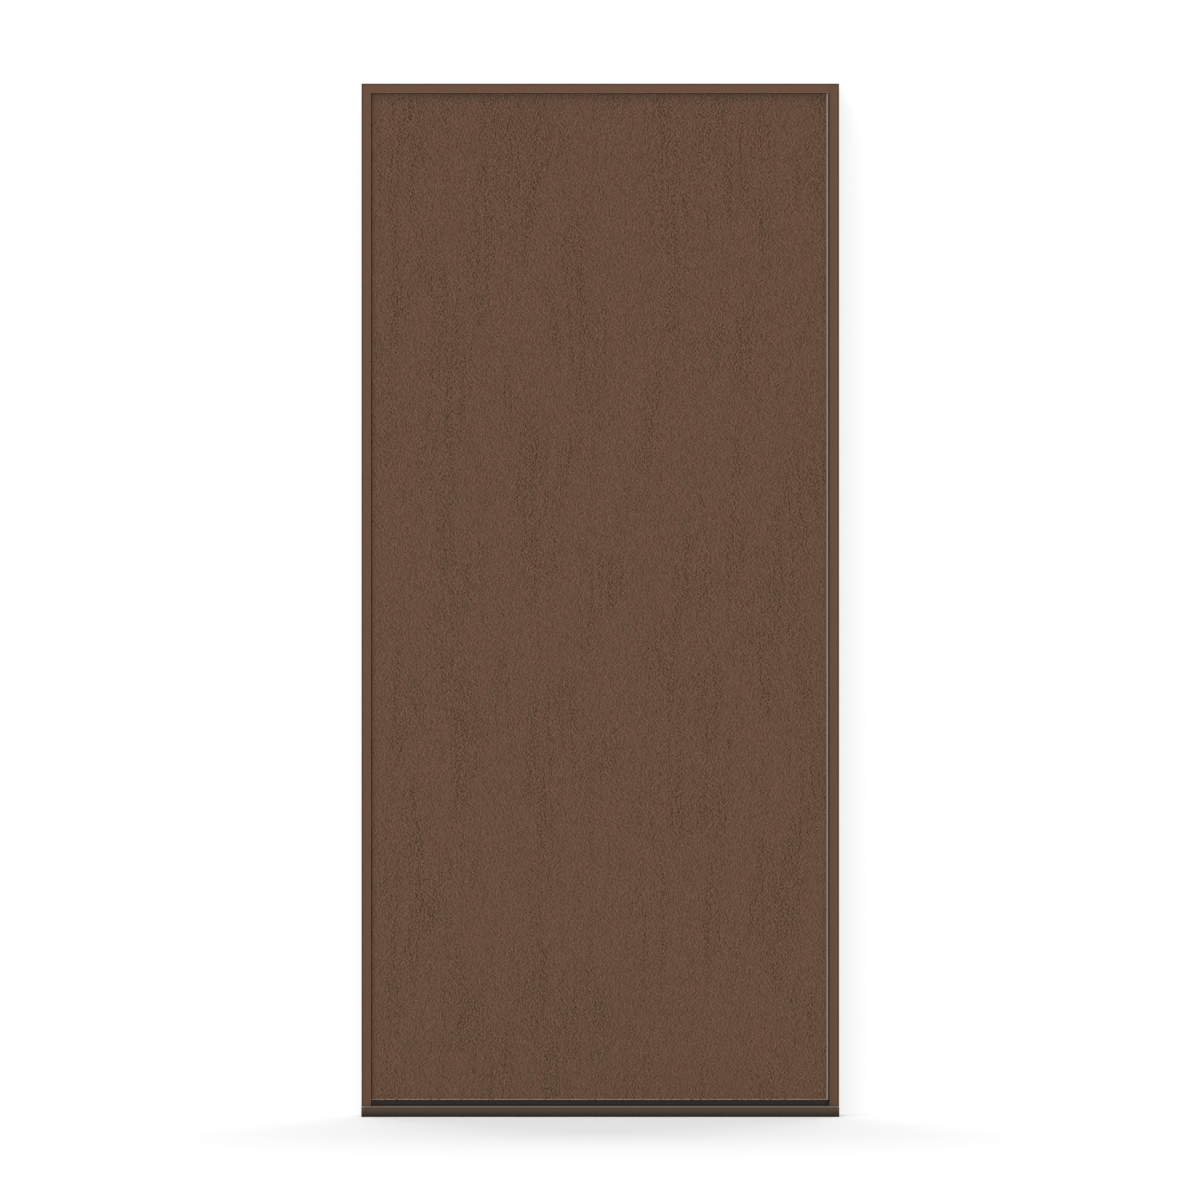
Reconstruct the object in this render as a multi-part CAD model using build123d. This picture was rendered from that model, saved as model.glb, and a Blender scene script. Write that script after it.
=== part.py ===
from build123d import *
import math
import os

# A prehung entrance door that opens outwards: a flush fiberglass leaf on a full-height
# hinge, in a rabbeted timber frame that stands on an aluminium sill.
# Millimetres. X runs to the right as seen from outside, Y runs inwards and Z up.
# The origin is on the underside of the sill, midway between the jambs, in the plane of
# the jambs' outside faces.

# Frame
opening_width = 914.4
jamb_thickness = 19.05
jamb_depth = 115.9
stop_projection = 12.7
seal_space = 11.0
kerf_width = 3.2
kerf_depth = 12.5
jamb_inner_arris = 1.0
jamb_outer_arris = 1.2
stop_arris = 2.0

# Leaf
leaf_height = 2006.6
leaf_thickness = 44.45
leaf_recess = 5.5
lock_gap = 1.0
head_gap = 1.0
skin_thickness = 1.8
skin_chamfer = 0.4
hinge_stile_width = 38.0
lock_stile_width = 50.0
top_rail_height = 38.0
bottom_rail_height = 60.0
lock_bevel = 3.0

# Full-height hinge
barrel_diameter = 6.35
hinge_plate_thickness = 1.5
hinge_plate_width = 32.0
hinge_pin_diameter = 3.175
pin_clearance = 0.05
knuckle_count = 33
knuckle_gap = 0.25
knuckle_relief = 0.3

# Frame seals
touch_gap = 0.3
seal_width = 11.3
seal_edge_gap = 0.4
seal_leg_thickness = 1.2
seal_leg_length = 11.0
seal_barb_count = 3
seal_barb_height = 2.0
seal_rounding = 1.6

# Sill
deck_height = 21.8
deck_slope = 4.0
nose_projection = 30.0
nose_radius = 19.0
extrusion_wall = 1.8
flute_depth = 0.6
flute_pitch = 4.5
flute_inset = 21.5
thermal_break_width = 4.0
thermal_break_depth = 8.0
bumper_overlap = 6.35
bumper_space = 6.5
bumper_width = 8.0
bumper_arris = 1.5
tread_back_height = 24.0
bulb_slot_height = 5.0
bulb_slot_depth = 2.2
bulb_neck_height = 2.4
bulb_neck_depth = 1.6
bulb_wall = 1.0
substrate_groove_count = 4
substrate_groove_width = 18.0
substrate_groove_depth = 6.0

# Door sweep
sweep_height = 11.2
sweep_plate = 2.0
sweep_setback = 1.5
sweep_back_inset = 4.0
sweep_end_gap = 0.6
sweep_hinge_relief = 0.5
skirt_bead_count = 2
skirt_bead_radius = 0.7
fin_count = 5
fin_thickness = 1.3
fin_lean = 1.4
prong_count = 2
prong_height = 9.0
prong_thickness = 1.6
prong_kerf_clearance = 0.2

# Places that follow from the sizes
jamb_x = opening_width / 2
outer_x = jamb_x + jamb_thickness
stop_x = jamb_x - stop_projection
leaf_front = leaf_recess
leaf_back = leaf_front + leaf_thickness
stop_front = leaf_back + seal_space
hinge_x = jamb_x - barrel_diameter / 2
leaf_hinge_x = jamb_x - barrel_diameter
leaf_lock_x = -jamb_x + lock_gap
deck_rise = math.tan(math.radians(deck_slope))


def deck_z(y):
    """Height of the sill's sloping deck at a depth y."""
    return deck_height + y * deck_rise


leaf_bottom = deck_z(leaf_front) + sweep_height
leaf_top = leaf_bottom + leaf_height
head_z = leaf_top + head_gap
frame_top = head_z + jamb_thickness
bumper_y = leaf_back + bumper_space
bumper_back = bumper_y + bumper_width
bumper_top = leaf_bottom + bumper_overlap
deck_end = bumper_y - thermal_break_width
bulb_z = leaf_bottom + bumper_overlap / 2 - bumper_arris / 2

# Planes whose first axis runs outwards from a rabbet face and whose second runs inwards
side_plane = Plane(origin=(jamb_x, 0, 0), x_dir=(1, 0, 0), z_dir=(0, 0, 1))
head_plane = Plane(origin=(0, 0, head_z), x_dir=(0, 0, 1), z_dir=(-1, 0, 0))


def outline(*points):
    """A flat face with straight edges through the points."""
    return make_face(Polyline(*points, close=True))


def rounded(face, point, radius):
    """The face with the corner nearest to the point rounded."""
    corner = face.vertices().sort_by_distance(Vector(*point))[0]
    return fillet(corner, radius)


def along_x(face, x_low, x_high):
    """A YZ outline drawn out from x_low to x_high."""
    return extrude(Plane.YZ.offset(x_low) * face, x_high - x_low)


def block(x_low, x_high, y_low, y_high, z_low, z_high):
    """A plain block between two corners."""
    size = (x_high - x_low, y_high - y_low, z_high - z_low)
    centre = ((x_low + x_high) / 2, (y_low + y_high) / 2, (z_low + z_high) / 2)
    return Pos(*centre) * Box(*size)


def lock_edge(y):
    """X of the leaf's bevelled lock edge at a depth y."""
    return leaf_lock_x + (y - leaf_front) * math.tan(math.radians(lock_bevel))


# Frame members

def jamb_profile():
    """Rabbeted section with its seal kerf: first axis outwards, second axis inwards."""
    face = outline(
        (0, 0),
        (jamb_thickness, 0),
        (jamb_thickness, jamb_depth),
        (-stop_projection, jamb_depth),
        (-stop_projection, stop_front),
        (-kerf_width, stop_front),
        (-kerf_width, stop_front + kerf_depth),
        (0, stop_front + kerf_depth),
    )
    face = rounded(face, (0, 0), jamb_inner_arris)
    face = rounded(face, (jamb_thickness, 0), jamb_outer_arris)
    face = rounded(face, (-stop_projection, jamb_depth), stop_arris)
    return rounded(face, (-stop_projection, stop_front), stop_arris)


def sill_envelope(x_low, x_high):
    """Everything below the top surface of the sill, for fitting pieces over it."""
    below = -deck_height
    face = outline(
        (-nose_projection, below),
        (-nose_projection, deck_z(-nose_projection)),
        (bumper_y, deck_z(bumper_y)),
        (bumper_y, bumper_top),
        (bumper_back, bumper_top),
        (jamb_depth, tread_back_height),
        (jamb_depth, below),
    )
    return along_x(face, x_low, x_high)


def make_hinge_jamb():
    """Side jamb that carries the hinge, cut to the sill at its foot, square where the head meets it."""
    post = extrude(side_plane * jamb_profile(), frame_top)
    post += block(jamb_x, jamb_x + jamb_inner_arris, 0, jamb_inner_arris, head_z, frame_top)
    return post - sill_envelope(stop_x - 1, outer_x + 1)


def make_head_jamb():
    """Head jamb between the side jambs, its stop cut back to fit between theirs."""
    start = head_plane.origin + Vector(jamb_x, 0, 0)
    plane = Plane(origin=start, x_dir=head_plane.x_dir, z_dir=head_plane.z_dir)
    head = extrude(plane * jamb_profile(), opening_width)
    for side in (-1, 1):
        ends = sorted((side * stop_x, side * (jamb_x + 1)))
        head -= block(*ends, stop_front, jamb_depth + 1, head_z - stop_projection - 1, frame_top + 1)
    return head


# Frame seals

def seal_profile():
    """Barbed leg in the kerf and a foam bulb that reaches the leaf's inside face."""
    centre = -kerf_width / 2
    half = seal_leg_thickness / 2
    tip = stop_front + seal_leg_length
    leg = outline(
        (centre - half, stop_front - half),
        (centre + half, stop_front - half),
        (centre + half, tip),
        (centre - half, tip),
    )
    reach = kerf_width / 2
    for number in range(seal_barb_count):
        end = tip - number * seal_leg_length / (seal_barb_count + 1)
        start = end - seal_barb_height
        leg += outline((centre - half, end), (centre, end), (centre, start), (centre - reach, start))
        leg += outline((centre, end), (centre + half, end), (centre + reach, start), (centre, start))
    front = leaf_back + touch_gap
    low = -seal_edge_gap - seal_width
    bulb = outline(
        (-seal_edge_gap, stop_front),
        (-seal_edge_gap, stop_front - seal_space / 3),
        (-seal_edge_gap - seal_width / 4, front),
        (low + seal_width / 5, front),
        (low, stop_front - seal_space / 3),
        (low + seal_rounding / 2, stop_front),
    )
    for corner in bulb.vertices().sort_by(Axis.Y)[:4]:
        bulb = rounded(bulb, tuple(corner), seal_rounding)
    return leg + bulb


def make_hinge_seal():
    """Seal up the hinge jamb, from the bumper to the head."""
    return extrude(side_plane.offset(bumper_top) * seal_profile(), head_z - bumper_top)


def make_head_seal():
    """Seal across the head, between the side seals."""
    start = head_plane.origin + Vector(stop_x, 0, 0)
    plane = Plane(origin=start, x_dir=head_plane.x_dir, z_dir=head_plane.z_dir)
    return extrude(plane * seal_profile(), 2 * stop_x)


def make_corner_pad():
    """Foam pad that closes the corner between hinge jamb, sill deck and bumper."""
    front = leaf_back + touch_gap
    face = outline(
        (front, deck_z(front)),
        (bumper_y, deck_z(bumper_y)),
        (bumper_y, bumper_top),
        (front, bumper_top),
    )
    return along_x(face, stop_x, jamb_x)


# Sill

def make_sill_deck():
    """Outside part of the sill: rounded nose, fluted deck and the wall under the nose."""
    nose = -nose_projection
    inner_nose = nose + extrusion_wall
    wall = extrusion_wall / math.cos(math.radians(deck_slope))
    outside = outline(
        (nose, 0), (nose, deck_z(nose)), (deck_end, deck_z(deck_end)), (deck_end, 0)
    )
    outside = rounded(outside, (nose, deck_z(nose)), nose_radius)
    inside = outline(
        (inner_nose, 0),
        (inner_nose, deck_z(inner_nose) - wall),
        (deck_end, deck_z(deck_end) - wall),
        (deck_end, 0),
    )
    corner = (inner_nose, deck_z(inner_nose) - wall)
    inside = rounded(inside, corner, nose_radius - extrusion_wall)
    deck = along_x(outside - inside, -outer_x, outer_x)
    start = nose + flute_inset
    count = int((leaf_back - start) / flute_pitch)
    flutes = [
        along_x(flute_profile(start + number * flute_pitch), -outer_x, outer_x)
        for number in range(count)
    ]
    return deck - flutes, along_x(inside, -outer_x, outer_x)


def flute_profile(y):
    """Shallow groove across the deck at a depth y."""
    top = deck_z(y)
    half = flute_pitch / 4
    return outline(
        (y - half, top + flute_depth), (y + half, top + flute_depth), (y + half / 2, top - flute_depth),
        (y - half / 2, top - flute_depth),
    )


def make_thermal_break():
    """Plastic strip that parts the outside extrusion from the inside one."""
    face = outline(
        (deck_end, deck_z(deck_end)),
        (bumper_y, deck_z(bumper_y)),
        (bumper_y, deck_z(bumper_y) - thermal_break_depth),
        (deck_end, deck_z(bumper_y) - thermal_break_depth),
    )
    return along_x(face, -outer_x, outer_x)


def bulb_foot(clearance):
    """T-shaped foot of the sill bulb, or its slot in the bumper."""
    neck = bulb_neck_height / 2 + clearance
    head = bulb_slot_height / 2 + clearance
    neck_end = bumper_y + bulb_neck_depth - clearance
    end = bumper_y + bulb_neck_depth + bulb_slot_depth + clearance
    return outline(
        (bumper_y, bulb_z - neck),
        (neck_end, bulb_z - neck),
        (neck_end, bulb_z - head),
        (end, bulb_z - head),
        (end, bulb_z + head),
        (neck_end, bulb_z + head),
        (neck_end, bulb_z + neck),
        (bumper_y, bulb_z + neck),
    )


def make_sill_tread():
    """Inside part of the sill: the bumper that the leaf closes on, and the tread."""
    foot = deck_z(bumper_y) - thermal_break_depth
    wall = extrusion_wall
    slope = (tread_back_height - bumper_top) / (jamb_depth - bumper_back)
    under = bumper_top - wall
    inner_end = jamb_depth - wall
    outside = outline(
        (bumper_y, foot),
        (bumper_y, bumper_top),
        (bumper_back, bumper_top),
        (jamb_depth, tread_back_height),
        (jamb_depth, 0),
        (bumper_back, 0),
        (bumper_back, foot),
    )
    inside = outline(
        (bumper_back, 0),
        (bumper_back, under),
        (inner_end, under + slope * (inner_end - bumper_back)),
        (inner_end, 0),
    )
    outside = rounded(outside, (bumper_y, bumper_top), bumper_arris)
    outside = rounded(outside, (jamb_depth, tread_back_height), bumper_arris)
    tread = along_x(outside - inside - bulb_foot(0), -outer_x, outer_x)
    hollow = along_x(inside, -outer_x, outer_x)
    return tread, hollow


def make_sill_bulb():
    """Hollow vinyl bulb between the side seals, its foot in the bumper."""
    front = leaf_back + touch_gap
    radius = (bumper_y - front) / 2
    centre = (bumper_y - radius, bulb_z)
    ring = Pos(*centre) * Circle(radius) - Pos(*centre) * Circle(radius - bulb_wall)
    neck = bulb_neck_height / 2
    bridge = outline(
        (bumper_y - bulb_wall, bulb_z - neck),
        (bumper_y, bulb_z - neck),
        (bumper_y, bulb_z + neck),
        (bumper_y - bulb_wall, bulb_z + neck),
    )
    return along_x(ring + bridge + bulb_foot(0), -stop_x, stop_x)


def make_substrate(deck_hollow, tread_hollow):
    """Composite block that fills the underside of the sill, grooved along its foot."""
    foot = deck_z(bumper_y) - thermal_break_depth
    middle = block(-outer_x, outer_x, deck_end, bumper_back, 0, foot)
    body = deck_hollow + middle + tread_hollow
    first = -nose_projection + extrusion_wall
    last = jamb_depth - extrusion_wall
    pitch = (last - first) / substrate_groove_count
    for number in range(substrate_groove_count):
        centre = first + (number + 0.5) * pitch
        half = substrate_groove_width / 2
        body -= block(-outer_x, outer_x, centre - half, centre + half, 0, substrate_groove_depth)
    return body


# Full-height hinge

def knuckle_span(number):
    """Lowest and highest point of one knuckle."""
    pitch = leaf_height / knuckle_count
    low = leaf_bottom + number * pitch
    return low + knuckle_gap / 2, low + pitch - knuckle_gap / 2


def make_hinge_leaf(side, first_knuckle):
    """Hinge plate and its knuckles: side -1 lies on the leaf and 1 on the jamb."""
    radius = barrel_diameter / 2
    bore = hinge_pin_diameter / 2 + pin_clearance
    edge = side * radius
    plate_x = sorted((edge, edge - side * hinge_plate_thickness))
    plate = outline(
        (plate_x[0], 0), (plate_x[1], 0), (plate_x[1], hinge_plate_width), (plate_x[0], hinge_plate_width)
    )
    section = Pos(hinge_x, 0) * (plate + Circle(radius) - Circle(bore))
    comb = extrude(Plane.XY.offset(leaf_bottom) * section, leaf_height)
    notch = radius + knuckle_relief
    cuts = []
    for number in range(knuckle_count):
        if number % 2 == first_knuckle:
            continue
        low, high = knuckle_span(number)
        low = leaf_bottom - 1 if number == 0 else low - knuckle_gap
        high = leaf_top + 1 if number == knuckle_count - 1 else high + knuckle_gap
        cuts.append(block(hinge_x - notch, hinge_x + notch, -notch, notch, low, high))
    return comb - cuts


def make_hinge_pin():
    """Pin through all the knuckles."""
    pin = Cylinder(hinge_pin_diameter / 2, leaf_height, align=(Align.CENTER, Align.CENTER, Align.MIN))
    return Pos(hinge_x, 0, leaf_bottom) * pin


# Leaf

def leaf_slice(y_low, y_high):
    """The leaf between two depths, with its bevelled lock edge."""
    face = outline(
        (lock_edge(y_low), y_low), (leaf_hinge_x, y_low), (leaf_hinge_x, y_high), (lock_edge(y_high), y_high)
    )
    return extrude(Plane.XY.offset(leaf_bottom) * face, leaf_height)


def make_skin(outside):
    """Moulded skin, its outer edges chamfered: the outside or the inside one."""
    if outside:
        skin = leaf_slice(leaf_front, leaf_front + skin_thickness)
        face = skin.faces().sort_by(Axis.Y)[0]
    else:
        skin = leaf_slice(leaf_back - skin_thickness, leaf_back)
        face = skin.faces().sort_by(Axis.Y)[-1]
    return chamfer(face.edges(), skin_chamfer)


def make_leaf_core():
    """Stiles, rails and foam between the skins."""
    front = leaf_front + skin_thickness
    back = leaf_back - skin_thickness
    body = leaf_slice(front, back)
    hinge_stile_x = leaf_hinge_x - hinge_stile_width
    lock_stile_x = leaf_lock_x + lock_stile_width
    top_rail_z = leaf_top - top_rail_height
    bottom_rail_z = leaf_bottom + bottom_rail_height
    inside = block(lock_stile_x, hinge_stile_x, front, back, leaf_bottom, leaf_top)
    lock_side = block(leaf_lock_x - 1, lock_stile_x, front, back, leaf_bottom, leaf_top)
    bottom_rail = block(lock_stile_x, hinge_stile_x, front, back, leaf_bottom, bottom_rail_z)
    return {
        "hinge_stile": block(hinge_stile_x, leaf_hinge_x, front, back, leaf_bottom, leaf_top),
        "lock_stile": body & lock_side,
        "top_rail": block(lock_stile_x, hinge_stile_x, front, back, top_rail_z, leaf_top),
        "bottom_rail": bottom_rail - sweep_prongs(lock_stile_x, hinge_stile_x, prong_kerf_clearance),
        "foam_core": block(lock_stile_x, hinge_stile_x, front, back, bottom_rail_z, top_rail_z) & inside,
    }


# Door sweep

def sweep_prongs(x_low, x_high, clearance):
    """Prongs of the sweep, or with a clearance their kerfs in the bottom rail."""
    front = leaf_front + sweep_setback
    back = leaf_back - sweep_back_inset
    pitch = (back - front) / prong_count
    half = prong_thickness / 2 + clearance
    prongs = []
    for number in range(prong_count):
        centre = front + (number + 0.5) * pitch
        top = leaf_bottom + prong_height + clearance
        prongs.append(block(x_low, x_high, centre - half, centre + half, leaf_bottom, top))
    return prongs


def skirt_beads(front, under, low):
    """Beads along the front of the sweep's skirt, evenly spaced down it."""
    pitch = (under - low) / skirt_bead_count
    return [
        Pos(front, low + (number + 0.5) * pitch) * Circle(skirt_bead_radius)
        for number in range(skirt_bead_count)
    ]


def make_sweep():
    """Vinyl sweep under the leaf: a plate, prongs up into the rail, a beaded skirt and fins."""
    front = leaf_front + sweep_setback
    back = leaf_back - sweep_back_inset
    end = jamb_x - sweep_end_gap
    under = leaf_bottom - sweep_plate
    plate = outline((lock_edge(front), front), (end, front), (end, back), (lock_edge(back), back))
    body = extrude(Plane.XY.offset(under) * plate, sweep_plate)
    pitch = (back - front - fin_thickness) / (fin_count - 1)
    for number in range(fin_count):
        root = front + number * pitch
        tip = root + fin_lean * min(number, 1)
        low = deck_z(tip + fin_thickness) + touch_gap
        fin = outline((root, under), (root + fin_thickness, under), (tip + fin_thickness, low), (tip, low))
        if number == 0:
            fin += skirt_beads(front, under, low)
        body += along_x(fin, lock_edge(tip + fin_thickness), end)
    body -= block(leaf_hinge_x, jamb_x, front, back, leaf_bottom - sweep_hinge_relief, leaf_bottom)
    stile_low = leaf_lock_x + lock_stile_width
    stile_high = leaf_hinge_x - hinge_stile_width
    return body + sweep_prongs(stile_low, stile_high, 0)


def build():
    """All sub-parts by name."""
    hinge_jamb = make_hinge_jamb()
    hinge_seal = make_hinge_seal()
    hinge_pad = make_corner_pad()
    sill_deck, deck_hollow = make_sill_deck()
    sill_tread, tread_hollow = make_sill_tread()
    return {
        "hinge_jamb": hinge_jamb,
        "lock_jamb": mirror(hinge_jamb, about=Plane.YZ),
        "head_jamb": make_head_jamb(),
        "hinge_side_seal": hinge_seal,
        "lock_side_seal": mirror(hinge_seal, about=Plane.YZ),
        "head_seal": make_head_seal(),
        "hinge_corner_pad": hinge_pad,
        "lock_corner_pad": mirror(hinge_pad, about=Plane.YZ),
        "sill_deck": sill_deck,
        "sill_thermal_break": make_thermal_break(),
        "sill_tread": sill_tread,
        "sill_bulb": make_sill_bulb(),
        "sill_substrate": make_substrate(deck_hollow, tread_hollow),
        "hinge_plate_jamb": make_hinge_leaf(1, 0),
        "hinge_plate_leaf": make_hinge_leaf(-1, 1),
        "hinge_pin": make_hinge_pin(),
        "outside_skin": make_skin(True),
        "inside_skin": make_skin(False),
        "door_sweep": make_sweep(),
        **make_leaf_core(),
    }


os.makedirs("parts", exist_ok=True)
for name, shape in build().items():
    export_step(shape, f"parts/{name}.step")
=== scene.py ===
import math

import bmesh
import bpy
from mathutils import Matrix, Vector


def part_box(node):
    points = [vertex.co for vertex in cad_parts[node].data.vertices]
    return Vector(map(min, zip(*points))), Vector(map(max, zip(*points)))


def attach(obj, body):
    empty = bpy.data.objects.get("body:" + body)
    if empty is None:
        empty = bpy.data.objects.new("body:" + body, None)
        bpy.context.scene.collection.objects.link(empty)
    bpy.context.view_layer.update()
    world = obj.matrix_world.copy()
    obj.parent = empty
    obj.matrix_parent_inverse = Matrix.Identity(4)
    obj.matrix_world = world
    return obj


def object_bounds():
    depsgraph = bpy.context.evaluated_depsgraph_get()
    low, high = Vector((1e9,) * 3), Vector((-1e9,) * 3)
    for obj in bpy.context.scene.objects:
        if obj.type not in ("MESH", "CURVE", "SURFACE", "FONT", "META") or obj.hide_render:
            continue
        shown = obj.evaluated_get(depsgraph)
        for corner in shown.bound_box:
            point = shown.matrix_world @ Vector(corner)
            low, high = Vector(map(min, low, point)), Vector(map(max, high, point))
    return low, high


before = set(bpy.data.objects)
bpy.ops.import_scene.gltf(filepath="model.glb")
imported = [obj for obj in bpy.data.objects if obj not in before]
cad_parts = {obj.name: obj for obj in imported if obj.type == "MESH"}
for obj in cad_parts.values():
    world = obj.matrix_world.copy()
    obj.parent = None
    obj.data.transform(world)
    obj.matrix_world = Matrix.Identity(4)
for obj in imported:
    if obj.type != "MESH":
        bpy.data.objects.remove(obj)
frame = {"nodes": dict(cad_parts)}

bl_info = {
    "name": "Fiberglass entrance door finishes",
    "version": (1, 0, 0),
    "blender": (4, 5, 0),
    "location": "3D View > Sidebar > Door",
    "description": "Finishes, hinge screws and studio for a prehung outswing entrance door",
    "category": "Object",
}

CAD_LOW, CAD_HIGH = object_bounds()

# Finishes by the CAD nodes that wear them
FRAME_TIMBER = ("hinge_jamb", "lock_jamb", "head_jamb")
LEAF_SKINS = ("outside_skin", "inside_skin")
LEAF_TIMBER = ("hinge_stile", "lock_stile")
LEAF_COMPOSITE = ("top_rail", "bottom_rail")
FRAME_SEALS = ("hinge_side_seal", "lock_side_seal", "head_seal")
CORNER_PADS = ("hinge_corner_pad", "lock_corner_pad")
SILL_ALUMINIUM = ("sill_deck", "sill_tread")
BLACK_VINYL = ("sill_thermal_break", "sill_bulb", "door_sweep")
HINGE_STEEL = ("hinge_plate_jamb", "hinge_plate_leaf", "hinge_pin")

# The jambs' stops: how far they stand inwards of the leaf, and into the opening
SEAL_SPACE = 0.011
STOP_PROJECTION = 0.0127

# Grain of the leaf's skins: sizes of its marks in metres along X, Y and Z
TICK = (0.0021, 0.05, 0.0036)
PORE = (0.0008, 0.05, 0.014)
STREAK = (0.0085, 0.05, 0.14)
CALM_PATCH = (0.085, 0.2, 0.30)
TINT_PATCH = (0.020, 0.05, 0.036)
# Dashes of the painted highlight along the leaf's bottom edge
HIGHLIGHT_DASH = (0.006, 0.05, 0.02)
SWAY = (0.15, 0.2, 0.5)
LEAN = (0.4, 0.2, 0.16)

# How far, in metres, the streaks sway, the ticks lean and a tick's flank of painted shade lies beside it
SWAY_WIDTH = 0.055
LEAN_WIDTH = 0.04
SHADED_FLANK_SHIFT = 0.0033

# Painted shade growing up the leaf, evening out its lighting: how much more of the grain's stain shows for
# each metre up
STAIN_SHADE_PER_METRE = 0.034

# Bands in metres from the edge that each follows: where it starts and where it is full
HEAD_SHADE_BELOW = (-0.023, -0.008)
HEAD_SHADE_ABOVE = (0.002, -0.006)
JAMB_SHADE = (0.012, -0.002)
# Painted highlight along the leaf's bottom and top edges
RAW_BOTTOM_HIGHLIGHT = (0.0012, 0.0006)
RAW_TOP_HIGHLIGHT = (-0.0012, -0.0006)
NEAR_FRONT = (0.0056, 0.0036)
# Painted shade along the frame's outer corner and its rounding
CORNER_SHADE = (-0.0043, -0.0031)
ROUNDED_CORNER_SHADE = (-0.0016, -0.0008)
# Painted shadow on the jamb beside the hinge's barrel
HINGE_SHADOW = (0.017, 0.0)
HINGE_SHADOW_INSIDE = (-0.0004, 0.0)
JOINT_LINE = (-0.0006, -0.0001)
TOP_FACE = (-0.0008, -0.0004)
# Painted highlight on the frame's inner arris
ARRIS = (-0.0177, -0.0181)
ARRIS_DEPTH = (0.0014, 0.0010)
UNDER_HEAD = (-0.0002, -0.0010)
STOP_TURN = (-0.0001, 0.0001)
STOP_END = (-0.0004, 0.0)

# How much lower the painted highlight on the arris starts under the head than beside the jambs
HEAD_ARRIS_DROP = 0.0003

# Painted shade on the hinge's barrel, in metres from the pin's axis, and where it ends on the plates
SHADE_ACROSS = (-0.0013, -0.0002)
SHADE_THROUGH = (0.0004, -0.0004)
SHADE_ENDS = (0.0034, 0.0026)

# The sill's marks, in metres above the floor: a painted highlight on its lip, painted shade towards its foot
# and under the sweep; and how far in its nose reaches
LIP_HIGHLIGHT_BELOW = (0.0187, 0.0198)
LIP_HIGHLIGHT_ABOVE = (0.0213, 0.0203)
NOSE_DEPTH = (0.012, 0.004)
# Painted shade: darker towards the sill's foot, and under the sweep
SHADE_AT_FOOT = (0.0250, -0.0030)
SHADE_UNDER_SWEEP = (0.0204, 0.0214)

# The foam's cell walls and its open cells
FOAM_COLOURS = ((0.62, 0.52, 0.3, 1.0), (0.85, 0.76, 0.52, 1.0))

# Hinge screws: sides of a head, and degrees to each side of a diagonal drawn in to leave a cross
SCREW_SIDES = 24
CROSS_CORNER = 20

# Shares of a head's rise: its rounded edge, its recess's depth and the height that counts as its top
ROUNDING = 0.6
RECESS_DEPTH = 0.7
TOP_LEVEL = 0.9

# Shares of a head's radius or recess: its rim, the cross's inner corners and the taper of its foot
RIM = 0.28
CROSS_INSIDE = 0.36
RECESS_FOOT = 0.5

# A face points up when its normal's Z is more than this
FACES_UP = 0.9

# Lamps: name, strength, width in degrees and the way the light travels
LAMPS = (
    ("front", 1.65, 50, (0.15, 1.0, -0.3)),
    ("key", 1.6, 50, (0.28, 1.0, -1.7)),
    ("back", 2.0, 40, (0.0, -1.0, -1.05)),
)
WORLD_FILL = 0.25

# Studio: the glow is what the camera sees of a surface in full shadow
FLOOR_SIZE = 60.0
FLOOR_COLOUR = (0.585, 0.585, 0.585)
FLOOR_GLOW = 0.29
FLOOR_BOUNCE = (0.35, 0.35, 0.35, 1.0)
BACKDROP_SIZE = 12.0
BACKDROP_GAP = 0.004
BACKDROP_COLOUR = (0.32, 0.32, 0.32)
BACKDROP_GLOW = 0.73
WHITE = (1, 1, 1, 1)

# Width of the camera's sensor in millimetres
SENSOR_WIDTH = 36.0

# The door's operators in the order in which they run
STEPS = ("finish_leaf", "finish_frame", "finish_metal", "hinge_screws", "stage")


class Value:
    """The output of a shader node, on which arithmetic adds Math nodes."""

    def __init__(self, finish, socket):
        self.finish = finish
        self.socket = socket

    def __getitem__(self, name):
        return Value(self.finish, self.socket.node.outputs[name])

    def maths(self, operation, first, second):
        return self.finish.node("ShaderNodeMath", {"operation": operation}, {0: first, 1: second})

    def __add__(self, other):
        return self.maths("ADD", self, other)

    def __radd__(self, other):
        return self.maths("ADD", other, self)

    def __sub__(self, other):
        return self.maths("SUBTRACT", self, other)

    def __rsub__(self, other):
        return self.maths("SUBTRACT", other, self)

    def __mul__(self, other):
        return self.maths("MULTIPLY", self, other)


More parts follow.
